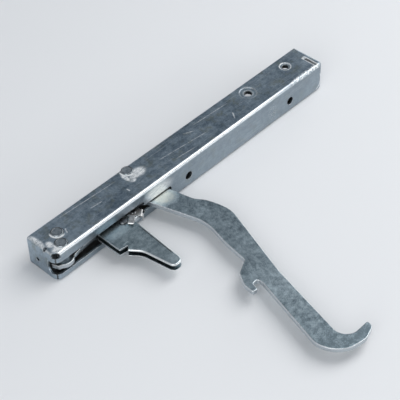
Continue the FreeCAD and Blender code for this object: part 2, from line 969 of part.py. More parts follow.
def shackle_place():
    """X of the shackle's large eye: the spring pulls it back against the eye pin."""
    return eye_x + size("eye_radius") - size("eye_pin_radius") - size("running_fit")


def make_shackle():
    """A flat plate with a large eye for the link and a small hole for the spring's hook."""
    body = new_body("spring_shackle")
    low = link_low - 0.3 - size("shackle_thickness")
    centre = shackle_place()
    hook_x = centre + size("shackle_length")
    tail = size("spring_hole_radius") + 2.4
    for x, radius in ((centre, size("shackle_radius")), (hook_x, tail)):
        disc = new_sketch(body, "XY_Plane", (0, 0, low))
        add_circle(disc, x, axis_y, radius)
        pad(body, disc, size("shackle_thickness"))
        if radius is not tail:
            neck = new_sketch(body, "XY_Plane", (0, 0, low))
            add_polygon(neck, box_outline(centre, hook_x, axis_y - tail, axis_y + tail))
            pad(body, neck, size("shackle_thickness"))
    holes = new_sketch(body, "XY_Plane", (0, 0, low + size("shackle_thickness") + overshoot))
    add_circle(holes, centre, axis_y, size("eye_radius"))
    add_circle(holes, hook_x, axis_y, size("spring_hole_radius"))
    pocket(body, holes, size("shackle_thickness") + overshoot * 2)
    return body


# Return spring and its anchor
def make_anchor():
    """The plate across the far end: tabs in both flanks and a keyhole for the spring's tail."""
    body = new_body("anchor_plate")
    near = from_far_end(size("anchor_inset")) - size("anchor_thickness") / 2
    gap = size("seam")
    tab_front = across(size("tab_depth"))
    tab_back = tab_front + size("tab_width")
    front = wall - half_width + gap
    back = half_width - wall * 2
    plate = new_sketch(body, "YZ_Plane", (0, 0, near))
    add_polygon(
        plate,
        [
            (front, inner_low + gap),
            (tab_front, inner_low + gap),
            (tab_front, gap),
            (tab_back, gap),
            (tab_back, inner_low + gap),
            (back, inner_low + gap),
            (back, inner_high - gap),
            (tab_back, inner_high - gap),
            (tab_back, height - gap / 2),
            (tab_front, height - gap / 2),
            (tab_front, inner_high - gap),
            (front, inner_high - gap),
        ],
    )
    pad(body, plate, size("anchor_thickness"))
    keyhole = new_sketch(body, "YZ_Plane", (0, 0, near + size("anchor_thickness") + overshoot))
    slack = size("wire") / 2 + 0.15
    add_polygon(
        keyhole,
        box_outline(axis_y - slack, axis_y + slack, size("axis_level") - slack, size("axis_level") + 4.5),
    )
    pocket(body, keyhole, size("anchor_thickness") + overshoot * 2)
    return body


def make_spring():
    """The coil, its front hook through the shackle and its tail bent behind the anchor plate.

    The wire follows one spine of short straight runs, ten to a turn.
    """
    wire = size("wire").number
    radius = size("coil_radius").number
    turns = int(size("coil_turns").number)
    y = axis_y.number
    z = size("axis_level").number
    hook_x = (shackle_place() + size("shackle_length")).number
    front = hook_x + radius
    back = from_far_end(size("anchor_inset")).number - size("anchor_thickness").number / 2 - wire * 2.2
    steps = 10
    pitch = (back - front) / turns
    spine = []
    for step in range(7):
        angle = math.pi * (6 - step) / 6 + math.pi / 2
        spine.append(Vector(front + radius * math.cos(angle), y, z + radius * math.sin(angle)))
    for step in range(1, turns * steps + 1):
        angle = math.pi / 2 + 2 * math.pi * step / steps
        spine.append(
            Vector(
                front + pitch * step / steps,
                y + radius * math.cos(angle),
                z + radius * math.sin(angle),
            )
        )
    tail_x = from_far_end(size("anchor_inset")).number + size("anchor_thickness").number / 2 + wire / 2 + 0.1
    spine.append(Vector(back + wire * 0.8, y, z + radius * 0.5))
    spine.append(Vector(back + wire * 1.6, y, z))
    spine.append(Vector(tail_x, y, z))
    spine.append(Vector(tail_x, y, z - wire * 2))
    path = Part.makePolygon(spine)
    start = (spine[1] - spine[0]).normalize()
    side = Vector(0, 1, 0)
    upward = start.cross(side)
    sides = 6
    section = []
    for corner in range(sides + 1):
        angle = 2 * math.pi * corner / sides
        section.append(
            spine[0] + side * (wire / 2 * math.cos(angle)) + upward * (wire / 2 * math.sin(angle))
        )
    shape = path.makePipeShell([Part.makePolygon(section)], True, False, 1)
    spring = doc.addObject("Part::Feature", "return_spring")
    spring.Label = "return_spring"
    spring.Shape = shape
    return spring


# Locking clip
def make_clip():
    """A sheet folded into a narrow U: two equal cheeks astride the arm, joined along one edge."""
    body = new_body("locking_clip")
    fold_top = (along(size("fold_top_in")), clip_pivot_y - size("fold_start"))
    tip = (along(size("clip_end_in")), outward(size("clip_tip_reach")))
    shoulder = (fold_top[0], across(size("clip_inner_depth")))
    corners = [
        shoulder,
        (along(size("clip_left_in")), across(size("clip_inner_depth"))),
        (along(size("clip_left_in")), outward(size("toe_reach"))),
        (along(size("clip_left_in")) + size("toe_step"), outward(size("toe_reach") + 0.8)),
        (
            along(size("clip_left_in")) + size("toe_step") * 0.55,
            outward(size("toe_reach") + 0.8 + size("toe_rise")),
        ),
        (along(size("clip_mid_in")), outward(size("clip_mid_reach"))),
        (along(size("clip_tip_in")), outward(size("clip_tip_reach"))),
        tip,
        fold_top,
    ]
    block = new_sketch(body, "XY_Plane", (0, 0, cheek_low_out))
    add_polygon(block, corners)
    pad(body, block, cheek_high_out - cheek_low_out)
    fillet(body, 4, upright_at(shoulder))
    fillet(body, size("clip_tip_round"), upright_at(tip, corners[6]))
    fillet(body, 9, upright_at(corners[5]))

    def along_fold(edge):
        box = edge.BoundBox
        level = min(abs(box.ZMin - cheek_low_out.number), abs(box.ZMin - cheek_high_out.number))
        straight = abs(box.diagonalLength() - edge.Length) if hasattr(box, "diagonalLength") else 0
        middle = edge.CenterOfMass
        run = (tip[1].number - fold_top[1].number)
        share = (middle.y - fold_top[1].number) / run
        line_x = fold_top[0].number + share * (tip[0].number - fold_top[0].number)
        return box.ZLength < 1e-4 and level < 1e-4 and straight < 1e-3 and abs(middle.x - line_x) < 0.05

    fillet(body, size("clip_sheet") * 0.9, along_fold)

    # the hollow between the cheeks stops one sheet thickness short of the folded edge
    hollow = new_sketch(body, "XY_Plane", (0, 0, cheek_high_in))
    inset = size("clip_sheet")
    far_left = along(size("clip_left_in")) - overshoot
    add_polygon(
        hollow,
        [
            (far_left, half_width),
            (far_left, tip[1] - overshoot),
            (tip[0] + overshoot, tip[1] - overshoot),
            (tip[0] + overshoot, tip[1] + size("fold_stop")),
            (tip[0] - inset * 0.6, tip[1] + size("fold_stop")),
            (fold_top[0] - inset, fold_top[1]),
            (fold_top[0] + overshoot, fold_top[1]),
            (fold_top[0] + overshoot, half_width),
        ],
    )
    pocket(body, hollow, cheek_high_in - cheek_low_in)
    hole = new_sketch(body, "XY_Plane", (0, 0, cheek_high_out + overshoot))
    add_circle(hole, clip_pivot_x, clip_pivot_y, size("clip_pin_radius") + size("running_fit"))
    pocket(body, hole, cheek_high_out - cheek_low_out + overshoot * 2)

    pin = size("clip_pin_radius")
    head = size("clip_head_radius")
    rise = size("clip_head_height")
    fit = size("running_fit")
    rivet = turned_part(
        "clip_rivet",
        clip_pivot_x,
        clip_pivot_y,
        [
            (0, cheek_low_out - fit - rise),
            (head - rise * 0.5, cheek_low_out - fit - rise),
            (head, cheek_low_out - fit - rise * 0.5),
            (head, cheek_low_out - fit),
            (pin, cheek_low_out - fit),
            (pin, cheek_high_out + fit),
            (head, cheek_high_out + fit),
            (head, cheek_high_out + fit + rise),
            (head - rise * 0.8, cheek_high_out + fit + rise * 1.8),
            (0, cheek_high_out + fit + rise * 1.8),
        ],
    )
    return [body, rivet]


# Retaining leaf
def make_leaf():
    """A sprung leaf on the arm: its finger lies over the clip and its ear hooks the arm's edge.

    It is drawn along its own length from the rivet, and then turned into place.
    """
    body = new_body("retaining_leaf")
    thick = size("leaf_sheet")
    seat = size("leaf_seat") / 2
    reach = size("leaf_length")
    lift = cheek_high_out + 0.25
    outer_side = size("leaf_shift") + size("leaf_width") / 2 + size("leaf_shoulder")
    finger = new_sketch(body, "XZ_Plane", (0, 0, size("leaf_shift") - size("leaf_width") / 2))
    add_polygon(
        finger,
        [
            (seat, arm_high),
            (seat, arm_high + thick),
            (-seat, arm_high + thick),
            (-seat - 1.2, lift + thick),
            (-reach + 0.9, lift + thick),
            (-reach, lift + thick + 0.7),
            (-reach - thick * 0.7, lift + thick + 0.2),
            (-reach + 0.6, lift),
            (-seat - 0.9, lift),
            (-seat + 0.3, arm_high),
        ],
    )
    pad(body, finger, size("leaf_width"))
    base = new_sketch(body, "XY_Plane", (0, 0, arm_high))
    add_polygon(
        base, box_outline(-seat + 0.3, seat, -outer_side, size("leaf_seat_width") - outer_side)
    )
    pad(body, base, thick)
    make_leaf_ear(body, outer_side, seat, thick)

    bind(body, "Placement.Base.x", leaf_x)
    bind(body, "Placement.Base.y", leaf_y)
    bind(body, "Placement.Rotation.Angle", size("leaf_angle"))
    body.Placement = Placement(
        Vector(leaf_x.number, leaf_y.number, 0),
        Rotation(Vector(0, 0, 1), size("leaf_angle").number),
    )
    pocket_hole = new_sketch(body, "XY_Plane", (0, 0, arm_high + thick + overshoot))
    add_circle(pocket_hole, 0, 0, size("leaf_rivet_radius"))
    pocket(body, pocket_hole, thick + overshoot * 2)

    pin = size("leaf_rivet_radius")
    head = size("leaf_head_radius")
    top = arm_high + thick
    rivet = turned_part(
        "leaf_rivet",
        leaf_x,
        leaf_y,
        [
            (0, arm_low - 0.5),
            (pin + 0.4, arm_low - 0.5),
            (pin + 0.7, arm_low),
            (pin, arm_low),
            (pin, top),
            (head, top),
            (head - 0.5, top + 0.6),
            (0, top + 0.6),
        ],
    )
    return [body, rivet]


def make_leaf_ear(body, outer_side, seat, thick):
    """The leaf's outer side, bent down in front of the arm's lug."""
    edge_y = -outer_side - size("leaf_bend") / 2
    top = arm_high + thick
    low = top - size("leaf_ear_drop")
    ear = new_sketch(body, "YZ_Plane", (0, 0, -seat + 0.3))
    add_polygon(
        ear,
        [
            (thick - outer_side, top),
            (edge_y, top),
            (edge_y, low),
            (edge_y + thick, low),
            (edge_y + thick, arm_high),
            (thick - outer_side, arm_high),
        ],
    )
    pad(body, ear, seat - 0.3)

    def fold_edge(y, z):
        def picked(edge):
            box = edge.BoundBox
            return (
                abs(box.YMin - y.number) < 1e-3
                and abs(box.YMax - y.number) < 1e-3
                and abs(box.ZMin - z.number) < 1e-3
                and abs(box.ZMax - z.number) < 1e-3
            )

        return picked

    fillet(body, size("leaf_bend"), fold_edge(edge_y, top))
    fillet(body, size("leaf_bend") - thick, fold_edge(edge_y + thick, arm_high))


pieces = [make_housing(), make_arm()]
pieces += make_pins()
pieces += make_link()
pieces += [make_shackle(), make_anchor(), make_spring()]
pieces += make_clip()
pieces += make_leaf()
doc.recompute()

# Checks and export
for item in doc.Objects:
    if "Invalid" in item.State or "Error" in item.State:
        raise RuntimeError(f"{item.Label} failed: {item.State}")
os.makedirs("parts", exist_ok=True)
for piece in pieces:
    shape = piece.Shape
    if shape.isNull() or not shape.isValid() or len(shape.Solids) != 1:
        raise RuntimeError(f"{piece.Label} is not one valid solid")
    shape.exportStep(f"parts/{piece.Label}.step")
    box = shape.BoundBox
    print(
        f"{piece.Label:16s} {shape.Volume:9.1f} mm3"
        f"  x {box.XMin:8.2f} {box.XMax:8.2f}  y {box.YMin:8.2f} {box.YMax:8.2f}"
        f"  z {box.ZMin:6.2f} {box.ZMax:6.2f}"
    )
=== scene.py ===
# %% [markdown]
# # An oven door hinge in zinc-plated steel
#
# The model that comes in is already built: a folded channel, a swan-neck arm, a
# locking clip, pins and a link. What is missing is the look of real sheet metal.
# This lesson gives each piece its finish, winds a proper spring, and sets up the
# camera, floor and light of a small product studio.

# %% Load the hinge
import bpy
import bmesh
import math
from mathutils import Matrix, Vector


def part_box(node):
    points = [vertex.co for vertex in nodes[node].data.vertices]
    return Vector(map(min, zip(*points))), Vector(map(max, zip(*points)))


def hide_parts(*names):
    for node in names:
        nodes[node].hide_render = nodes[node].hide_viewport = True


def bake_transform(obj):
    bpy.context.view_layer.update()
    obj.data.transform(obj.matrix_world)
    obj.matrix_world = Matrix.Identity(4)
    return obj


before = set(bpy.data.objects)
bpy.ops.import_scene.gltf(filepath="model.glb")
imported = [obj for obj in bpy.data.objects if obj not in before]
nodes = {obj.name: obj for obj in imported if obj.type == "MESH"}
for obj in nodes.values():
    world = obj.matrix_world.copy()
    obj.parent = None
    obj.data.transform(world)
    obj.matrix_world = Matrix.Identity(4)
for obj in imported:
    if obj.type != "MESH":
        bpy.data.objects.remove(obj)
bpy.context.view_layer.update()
print("nodes:", ", ".join(sorted(nodes)))

# %% [markdown]
# ## Places that the finishes need
#
# A scratch or a rivet's ring belongs to one spot on the metal, so the finishes
# need to know where things are. Each node can be asked for its own box, and the
# middle of a pin's box is the pin's axis. That way nothing is typed twice.

# %% Read places from the nodes
MM = 0.001


def middle_of(node):
    low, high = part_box(node)
    return (low + high) / 2


def flat_place(node):
    """The middle of a node seen from above, in millimetres."""
    middle = middle_of(node) / MM
    return middle.x, middle.y


channel_low, channel_high = (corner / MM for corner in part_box("housing"))
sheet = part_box("spacer_lower")[0].z / MM - channel_low.z
rivets = [flat_place(name) for name in ("pivot_pin", "open_stop_pin", "close_stop_pin")]
print("channel", [round(side, 2) for side in channel_high - channel_low], "mm")
print("sheet", round(sheet, 2), "mm")
print("rivets at", [(round(x, 1), round(y, 1)) for x, y in rivets])

# %% [markdown]
# ## The camera
#
# The hinge was photographed from above one corner, with a long lens. A camera is
# simplest to place by what it looks at: a target point, a compass direction, a
# height above the floor, and a distance. A small roll tilts the horizon the way
# the picture has it. The angle of view comes from the frame being 400 pixels wide
# and the focal length being known in pixels.

# %% Place the camera
FOCAL_PX = 1263.1
HALF_FRAME_PX = 200
target = Vector((-12.16, -21.82, 0.0)) * MM
azimuth, elevation, roll = (math.radians(a) for a in (-45.88, 44.16, -1.455))
distance = 0.64774

back = Vector((
    math.sin(azimuth) * math.cos(elevation),
    -math.cos(azimuth) * math.cos(elevation),
    math.sin(elevation),
))
right = Vector((math.cos(azimuth), math.sin(azimuth), 0.0))
up = back.cross(right)
turned_right = right * math.cos(roll) + up * math.sin(roll)
turned_up = back.cross(turned_right)
place = target + back * distance

camera_data = bpy.data.cameras.new("camera")
camera_data.angle = 2 * math.atan(HALF_FRAME_PX / FOCAL_PX)
camera_data.clip_start = 0.01
camera = bpy.data.objects.new("camera", camera_data)
camera.matrix_world = Matrix((
    (turned_right.x, turned_up.x, back.x, place.x),
    (turned_right.y, turned_up.y, back.y, place.y),
    (turned_right.z, turned_up.z, back.z, place.z),
    (0, 0, 0, 1),
))
bpy.context.scene.collection.objects.link(camera)
bpy.context.scene.camera = camera
print("camera at", [round(v, 4) for v in place])
print("looking down", round(math.degrees(elevation), 1), "degrees")

# %% [markdown]
# ## Shader maths as plain Python
#
# A material is a graph of nodes, and wiring maths nodes by hand hides the sum
# that they do. The `Value` class wraps one socket and overloads the arithmetic
# operators, so that `1 - mask * 0.5` builds its own nodes. Every other node comes
# from one method, `node`, which takes the type, its settings and its inputs.

# %% The socket wrapper
class Value:
    """One output socket of a material, with arithmetic."""

    def __init__(self, finish, socket):
        self.finish = finish
        self.socket = socket

    def maths(self, operation, *others):
        inputs = dict(enumerate([self, *others]))
        return self.finish.node("ShaderNodeMath", {"operation": operation}, inputs)

    def __add__(self, other):
        return self.maths("ADD", other)

    def __sub__(self, other):
        return self.maths("SUBTRACT", other)

    def __mul__(self, other):
        return self.maths("MULTIPLY", other)

    def __truediv__(self, other):
        return self.maths("DIVIDE", other)

    def __rsub__(self, other):
        return self.finish.node("ShaderNodeMath", {"operation": "SUBTRACT"}, {0: other, 1: self})

    __radd__ = __add__
    __rmul__ = __mul__

    def at_least(self, other):
        return self.maths("MAXIMUM", other)

    def capped(self):
        """The same value, but never more than 1."""
        return self.maths("MINIMUM", 1.0)

    def smooth(self, start, end):
        """0 below start, 1 above end, with a soft step between."""
        return self.finish.node(
            "ShaderNodeMapRange",
            {"interpolation_type": "SMOOTHSTEP"},
            {"Value": self, "From Min": start, "From Max": end, "To Min": 0.0, "To Max": 1.0},
        )

    def band(self, rise, fall):
        """1 between two soft steps, each given by where it starts and ends."""
        return self.smooth(*rise) * (1 - self.smooth(*fall))


class Finish:
    """A material under construction."""

    def __init__(self, name):
        self.material = bpy.data.materials.new(name)
        self.material.use_nodes = True
        self.tree = self.material.node_tree
        self.shader = self.tree.nodes["Principled BSDF"]

    def node(self, kind, settings=None, inputs=None, output=0):
        made = self.tree.nodes.new(kind)
        for name, value in (settings or {}).items():
            setattr(made, name, value)
        for name, value in (inputs or {}).items():
            self.feed(made.inputs[name], value)
        return Value(self, made.outputs[output])

    def feed(self, socket, value):
        if isinstance(value, Value):
            self.tree.links.new(value.socket, socket)
        else:
            socket.default_value = value

    def ramp(self, factor, stops):
        """Colours along a factor: a list of (position, colour)."""
        made = self.node("ShaderNodeValToRGB", inputs={"Fac": factor})
        elements = made.socket.node.color_ramp.elements
        for element, (position, colour) in zip(elements, stops):
            element.position, element.color = position, (*colour, 1)
        for position, colour in stops[2:]:
            elements.new(position).color = (*colour, 1)
        return made

    def blend(self, factor, first, second):
        """Mixes two colours: the node keeps its factor in socket 0, the colours in 6 and 7."""
        made = self.node("ShaderNodeMix", {"data_type": "RGBA"}, output=2)
        sockets = made.socket.node.inputs
        for place, value in ((0, factor), (6, first), (7, second)):
            self.feed(sockets[place], (*value, 1) if isinstance(value, tuple) else value)
        return made

    def noise(self, where, scale, detail=4.0, roughness=0.55):
        settings = {"noise_dimensions": "3D"}
        inputs = {"Vector": where, "Scale": scale, "Detail": detail, "Roughness": roughness}
        return self.node("ShaderNodeTexNoise", settings, inputs)

    def set(self, **sockets):
        for name, value in sockets.items():
            self.feed(self.shader.inputs[name.replace("_", " ")], value)


def wear(node_names, finish):
    """Puts a finish in every material slot of the named nodes."""
    for name in node_names:
        piece = nodes[name]
        if not piece.material_slots:
            piece.data.materials.append(finish.material)
        for place in piece.material_slots:
            place.material = finish.material
    print(finish.material.name, "on", ", ".join(node_names))


# %% [markdown]
# ## Helpers shared by every metal finish
#
# All the metals here have three things in common. Their patterns are fixed to
# the object's own coordinates. Their punched edges are slightly rounded and
# polished, and their colour is lightened there as a painted highlight; the Bevel
# node finds these edges by comparing the surface with a rounded copy of itself.
# A stamped plate's upper rim is already round in the model, so there the slope
# of the surface gives the mask. And no surface is quite flat.

# %% Coordinates, edges and bump
def object_position(finish):
    """Object coordinates in millimetres, as a vector and as x, y, z."""
    raw = finish.node("ShaderNodeTexCoord", output="Object")
    scaled = finish.node("ShaderNodeVectorMath", {"operation": "SCALE"}, {0: raw, "Scale": 1 / MM})
    split = finish.node("ShaderNodeSeparateXYZ", inputs={"Vector": scaled})
    outputs = split.socket.node.outputs
    return scaled, *(Value(finish, outputs[k]) for k in range(3))


def stretched(finish, where, x, y, z):
    """The same coordinates scaled by a factor along each axis."""
    return finish.node("ShaderNodeVectorMath", {"operation": "MULTIPLY"}, {0: where, 1: (x, y, z)})


def rounded_edge(finish, radius_mm):
    """The rounded normal, and a mask that is 1 on the rounded edge."""
    bevel = finish.node("ShaderNodeBevel", {"samples": 6}, {"Radius": radius_mm * MM})
    flat = finish.node("ShaderNodeNewGeometry", output="Normal")
    settings = {"operation": "DOT_PRODUCT"}
    agree = finish.node("ShaderNodeVectorMath", settings, {0: bevel, 1: flat}, output="Value")
    return bevel, (1 - agree).smooth(0.01, 0.16)


def cut_faces(finish):
    """For a plate that lies flat: 1 on its upright cut faces, and 1 on its rounded rim."""
    facing = finish.node("ShaderNodeTexCoord", output="Normal")
    split = finish.node("ShaderNodeSeparateXYZ", inputs={"Vector": facing})
    upward = Value(finish, split.socket.node.outputs[2]).maths("ABSOLUTE")
    return 1 - upward.smooth(0.35, 0.85), upward.band((0.05, 0.2), (0.88, 0.97))


def bump(finish, height, strength, depth_mm, normal):
    """The rounded normal, tilted by the slope of a height."""
    inputs = {"Height": height, "Strength": strength, "Distance": depth_mm * MM, "Normal": normal}
    return finish.node("ShaderNodeBump", inputs=inputs)


print("helpers ready")

# %% [markdown]
# ## Marks with a place
#
# Noise alone makes a surface that looks the same everywhere, and a real part has
# a history: a scratch here, a worn ring round that hole. Each mark is a mask, a
# number from 0 to 1 worked out from the distance to a line, an oval, a circle or
# a rectangle. Several masks join by taking the largest at each point.

# %% Scratches, smears, rings and outlines
def strongest(masks):
    """The largest of several masks at each point."""
    largest = masks[0]
    for mask in masks[1:]:
        largest = largest.at_least(mask)
    return largest


def scratch(u, v, start, end, width):
    """1 on a thin straight mark between two places, in millimetres."""
    run = (end[0] - start[0], end[1] - start[1])
    length = math.hypot(*run)
    along = (run[0] / length, run[1] / length)
    shifted_u, shifted_v = u - start[0], v - start[1]
    forward = shifted_u * along[0] + shifted_v * along[1]
    aside = (shifted_v * along[0] - shifted_u * along[1]).maths("ABSOLUTE")
    inside = forward.band((0, length * 0.15), (length * 0.85, length))
    return inside * (1 - aside.smooth(width * 0.3, width))


def distance(u, v, centre, half=(1.0, 1.0)):
    """How far a point is from a centre, counted in half widths."""
    aside_u, aside_v = (u - centre[0]) / half[0], (v - centre[1]) / half[1]
    return (aside_u * aside_u + aside_v * aside_v).maths("SQRT")


def smear(u, v, centre, half):
    """1 in the middle of a soft oval."""
    return 1 - distance(u, v, centre, half).smooth(0.3, 1.0)


def ring(u, v, centre, radius, width):
    """1 on a circle."""
    return 1 - (distance(u, v, centre) - radius).maths("ABSOLUTE").smooth(width * 0.4, width)


def outline(u, v, low, high, width):
    """1 along the border of a rectangle."""
    beyond = [
        (value - (start + end) / 2).maths("ABSOLUTE") - (end - start) / 2
        for value, start, end in zip((u, v), low, high)
    ]
    return 1 - strongest(beyond).maths("ABSOLUTE").smooth(width * 0.4, width)


print("marks:", ", ".join(mark.__name__ for mark in (scratch, smear, ring, outline)))

# %% [markdown]
# ## Where the channel is worn, and where highlights are painted
#
# The channel has been fitted and taken out again. The upper flank is rubbed
# round the screw holes, where washers turned, and beside each rivet it has a
# painted highlight crescent. The bend is scraped near the far end, the edge over
# the near end is worn white, the edge under it has a painted highlight, and the
# web is brushed where the arm passes and has a painted highlight arc near its far
# end. All places are in millimetres from the middle of the channel, x along it
# and y towards its open side.

# %% Marks on the upper flank
# Each scratch has a start, an end and a width.
FLANK_SCRATCHES = [
    ((-83.3, 0.4), (-84.8, -3.0), 0.5),
    ((-44.2, -2.0), (-43.9, -4.7), 0.5),
    ((4.6, 5.5), (10.8, 2.8), 0.35),
    ((34.9, -1.8), (31.9, -6.3), 0.5),
    ((-84.4, 7.9), (-43.1, 5.8), 0.25),
    ((-20.0, 1.0), (16.0, -2.6), 0.25),
    ((12.0, 6.6), (40.0, 5.2), 0.25),
    ((-66.0, 1.2), (-58.0, 0.4), 0.3),
    ((-12.0, -5.0), (2.0, -6.2), 0.25),
]
# Each smear has a centre and half sizes, and each ring a centre, a radius and a width.
FLANK_SMEARS = [
    ((-31.2, 2.4), (5.6, 4.2)),
    ((-34.2, 1.8), (5.2, 2.8)),
    ((-38.9, 4.0), (1.8, 4.4)),
    ((-37.4, -0.2), (2.4, 1.5)),
    ((-94.6, -7.2), (5.0, 3.0)),
    ((-95.8, -2.4), (2.4, 3.2)),
    ((-98.9, 3.6), (2.4, 8.0)),
]
SCREW_RINGS = [
    ((52.4, 2.7), 4.6, 0.45),
    ((52.4, 2.7), 2.75, 0.55),
    ((83.2, 2.7), 3.15, 0.55),
]
# The tab's slot is two corners and the width of its bright border. Round each rivet
# a painted highlight crescent lies on the side facing the camera, given as a direction.
TAB_SLOT = ((95.0, -10.2), (96.8, 0.3), 0.7)
HIGHLIGHT_CRESCENT = (3.6, 0.8)
HIGHLIGHT_SIDE = (-0.72, -0.69)


def flank_marks(finish, x, y, where):
    """Bright wear on the upper flank, and painted highlight crescents beside the rivets."""
    broken = finish.noise(where, 1.1, 3.0, 0.7).smooth(0.34, 0.56)
    along = stretched(finish, where, 0.5, 1.5, 1.0)
    rub_sheen_and_shade = finish.noise(along, 1.2, 5.0, 0.75).smooth(0.30, 0.58)
    scratches = strongest([scratch(x, y, *line) for line in FLANK_SCRATCHES]) * broken * 0.7
    ovals = strongest([smear(x, y, *oval) for oval in FLANK_SMEARS])
    smears = (ovals * 1.25).capped() * rub_sheen_and_shade
    rings = strongest([ring(x, y, *circle) for circle in SCREW_RINGS]) * broken.at_least(0.45)
    slot = outline(x, y, *TAB_SLOT) * broken.at_least(0.7)
    # Painted highlight: a crescent on the side of each rivet that faces the camera.
    highlight_crescents = []
    for place in rivets:
        facing = (x - place[0]) * HIGHLIGHT_SIDE[0] + (y - place[1]) * HIGHLIGHT_SIDE[1]
        highlight_crescents.append(ring(x, y, place, *HIGHLIGHT_CRESCENT) * facing.smooth(0.2, 2.4))
    return strongest([scratches, smears, rings, slot, *highlight_crescents])


print(len(FLANK_SCRATCHES), "scratches,", len(FLANK_SMEARS), "smears,", len(SCREW_RINGS), "rings")

# %% Marks on the bend, the web and the ends
# The scrape starts and ends softly, between these places along the channel. The
# ovals and the ring on the web are given in x and z.
BEND_SCRAPE = ((70.0, 78.0), (96.0, 99.0))
WEB_BRUSHED = ((-30.5, 12.4), (12.5, 7.0))
WEB_SPECKS = ((58.0, 8.5), (4.6, 8.5))
WEB_ARC_HIGHLIGHT = ((92.3, 7.6), 6.6, 0.4)


def outward(y, start, end):
    """1 near the web's outer face, 0 deeper in than end, in millimetres below it."""
    return 1 - y.smooth(channel_low.y + start, channel_low.y + end)


def fold_marks(finish, x, y, z, where):
    """Bright wear on the folded faces and along the near end, with painted highlights on the web's
    arc and the near end's lower edge.
    """
    broken = finish.noise(where, 0.9, 4.0, 0.75).smooth(0.44, 0.6)
    on_web = outward(y, 0.2, 0.5)
    scraped = outward(y, 1.6, 3.0) * z.smooth(16.0, 17.2) * x.band(*BEND_SCRAPE)
    dots = finish.noise(where, 1.9, 2.0, 0.5).smooth(0.61, 0.65)
    specks = smear(x, z, *WEB_SPECKS) * dots * on_web
    along = stretched(finish, where, 0.5, 1.0, 2.6)
    grain = finish.noise(along, 1.0, 3.0, 0.6).smooth(0.3, 0.62)
    brushed = smear(x, z, *WEB_BRUSHED) * (grain * 0.5 + 0.5) * on_web
    # Painted highlight: a bright arc on the web near its lower far corner.
    lower_right = x.smooth(94.0, 95.5) * (1 - z.smooth(10.0, 12.0))
    arc_highlight = ring(x, z, *WEB_ARC_HIGHLIGHT) * lower_right * outward(y, 1.5, 2.5)
    # Wear along the near end's top edge, and a painted highlight along its lower edge.
    near_end = 1 - x.smooth(channel_low.x + 0.4, channel_low.x + 1.5)
    near_end_wear_and_highlight = near_end * (z.smooth(16.7, 17.6) + (1 - z.smooth(0.4, 1.0)) * 0.7)
    return strongest([scraped * broken, specks, brushed, arc_highlight, near_end_wear_and_highlight * (broken * 0.5 + 0.5)])


def inner_shade_and_oil(finish, x, y, z, where):
    """Oil film and painted shade on the inside of the channel, lighter near its open side."""
    outer, inner = sheet * 0.6, sheet * 0.95
    inside = y.smooth(channel_low.y + outer, channel_low.y + sheet)
    for value, low, high in (
        (x, channel_low.x, channel_high.x),
        (z, channel_low.z, channel_high.z),
    ):
        inside = inside * value.band((low + outer, low + inner), (high - inner, high - outer))
    thickness = finish.noise(where, 0.25, 3.0, 0.6) * 0.5 + 0.68 - y.smooth(1.0, 10.0) * 0.45
    return inside * thickness


print("brushed patch at", WEB_BRUSHED[0], "and the bend scraped over x =", *BEND_SCRAPE)

# %% [markdown]
# ## Zinc-plated sheet
#
# The channel is folded from cold-rolled strip and zinc plated. Plated sheet is
# not an even grey: cloudy patches come from the bath, streaks run along the
# strip from rolling, and some patches have aged to a dull green. A painted
# shade line darkens it round the rivets. The clouds change the roughness as well
# as the colour, because that is what the eye reads on metal. The bend carries a
# painted highlight, which fades towards the far end, where the bend is scraped.

# %% The plating
BRIGHT_METAL = (0.86, 0.88, 0.88)
ZINC_DARK, ZINC_LIGHT = (0.125, 0.175, 0.22), (0.37, 0.45, 0.515)
ZINC_EVEN = (0.32, 0.37, 0.41)
ZINC_AGED = (0.20, 0.225, 0.19)
# The painted highlight on the fold is an oval in y and z, and it fades between two places along x.
FOLD_HIGHLIGHT = ((channel_low.y + 0.7, channel_high.z - 0.3), (1.55, 1.55))
FOLD_HIGHLIGHT_FADES = (45.0, 85.0)


def zinc_film(finish, where):
    """How light the plating is at each point, and its fine texture."""
    clouds = finish.noise(where, 0.07, 4.0, 0.6)
    patches = finish.noise(where, 0.30, 5.0, 0.7)
    streaks = finish.noise(stretched(finish, where, 0.07, 0.75, 0.75), 1.0, 4.0, 0.65)
    spangle = finish.noise(where, 1.3, 4.0, 0.7)
    tone = clouds * 0.25 + patches * 0.33 + streaks * 0.14 + spangle * 0.28
    return tone, patches * 0.5 + spangle * 0.5


def zinc_colour(finish, x, y, z, where, tone):
    """The plating's colour with the painted highlight on the fold, before any wear, oil or painted
    shade.
    """
    colour = finish.ramp(tone, [(0.41, ZINC_DARK), (0.60, ZINC_LIGHT)])
    aged = finish.noise(where, 0.16, 5.0, 0.7).smooth(0.50, 0.66) * 0.55
    colour = finish.blend(aged, colour, ZINC_AGED)
    along = stretched(finish, where, 0.035, 2.6, 2.6)
    hairs = finish.noise(along, 1.0, 2.0, 0.5).smooth(0.63, 0.70)
    colour = finish.blend(hairs * 0.3, colour, BRIGHT_METAL)
    colour = finish.blend(outward(y, 0.1, 0.4) * 0.6, colour, ZINC_EVEN)
    # Painted highlight along the fold, fading towards the far end.
    highlight_fade = 1 - x.smooth(*FOLD_HIGHLIGHT_FADES) * 0.85
    fold_highlight = smear(y, z, *FOLD_HIGHLIGHT) * (tone * 0.8 + 0.3) * highlight_fade
    return finish.blend(fold_highlight.capped(), colour, BRIGHT_METAL)


print("plating from", ZINC_DARK, "to", ZINC_LIGHT)

# %% The channel's finish
# Dark colour for oil and for painted shade.
SHADE_AND_OIL = (0.045, 0.042, 0.038)
# The painted shade line round each rivet has a radius and a width, and a painted
# sheen makes the channel paler towards its near end.
RIVET_RIM_SHADE = (3.2, 0.4)
NEAR_END_SHEEN = (-98.0, -62.0)


